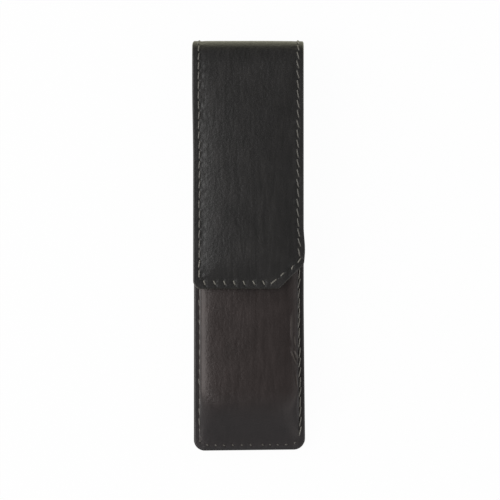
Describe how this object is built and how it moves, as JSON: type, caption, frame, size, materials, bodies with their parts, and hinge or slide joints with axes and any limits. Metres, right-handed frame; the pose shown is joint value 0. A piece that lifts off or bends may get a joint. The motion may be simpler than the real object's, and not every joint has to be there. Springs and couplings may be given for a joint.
{
  "type": "pen case",
  "caption": "Slim leather pen case: a sewn, moulded pocket with a pen divider inside, closed by a long fold-over flap with one clipped corner.",
  "frame": {"origin": "middle of the footprint of the closed case, on the surface that its back lies on", "axes": "+X to the right as the front is seen, +Y from the closed end to the fold, +Z from the back to the front"},
  "size_m": [0.043, 0.16, 0.0202],
  "materials": {
    "shell_leather": "smooth black cowhide, satin",
    "board": "bonded leather board, raw",
    "lining": "black suede, matt",
    "divider": "black split leather, matt"
  },
  "bodies": {
    "pocket": {"back_leather": "shell_leather", "back_board": "board", "back_lining": "lining", "front_leather": "shell_leather", "front_lining": "lining", "pen_divider": "divider"},
    "fold_rear": {"fold_rear_leather": "shell_leather", "fold_rear_board": "board", "fold_rear_lining": "lining"},
    "fold_top": {"fold_top_leather": "shell_leather", "fold_top_board": "board", "fold_top_lining": "lining"},
    "fold_front": {"fold_front_leather": "shell_leather", "fold_front_board": "board", "fold_front_lining": "lining"},
    "flap": {"flap_leather": "shell_leather", "flap_board": "board", "flap_lining": "lining"}
  },
  "joints": [
    {"name": "fold_rear_bend", "type": "hinge", "parent": "pocket", "child": "fold_rear", "pos_m": [0, 0.07251, 0.00034], "axis": [-1, 0, 0], "range_deg": [0, 25]},
    {"name": "fold_top_bend", "type": "hinge", "parent": "fold_rear", "child": "fold_top", "pos_m": [0, 0.07905, 0.00583], "axis": [-1, 0, 0], "range_deg": [0, 50]},
    {"name": "fold_front_bend", "type": "hinge", "parent": "fold_top", "child": "fold_front", "pos_m": [0, 0.07905, 0.01437], "axis": [-1, 0, 0], "range_deg": [0, 55]},
    {"name": "flap_open", "type": "hinge", "parent": "fold_front", "child": "flap", "pos_m": [0, 0.07251, 0.01986], "axis": [-1, 0, 0], "range_deg": [0, 40]}
  ],
  "couplings": [
    {"joint": "fold_rear_bend", "follows": "flap_open", "ratio": 0.625},
    {"joint": "fold_top_bend", "follows": "flap_open", "ratio": 1.25},
    {"joint": "fold_front_bend", "follows": "flap_open", "ratio": 1.375}
  ]
}
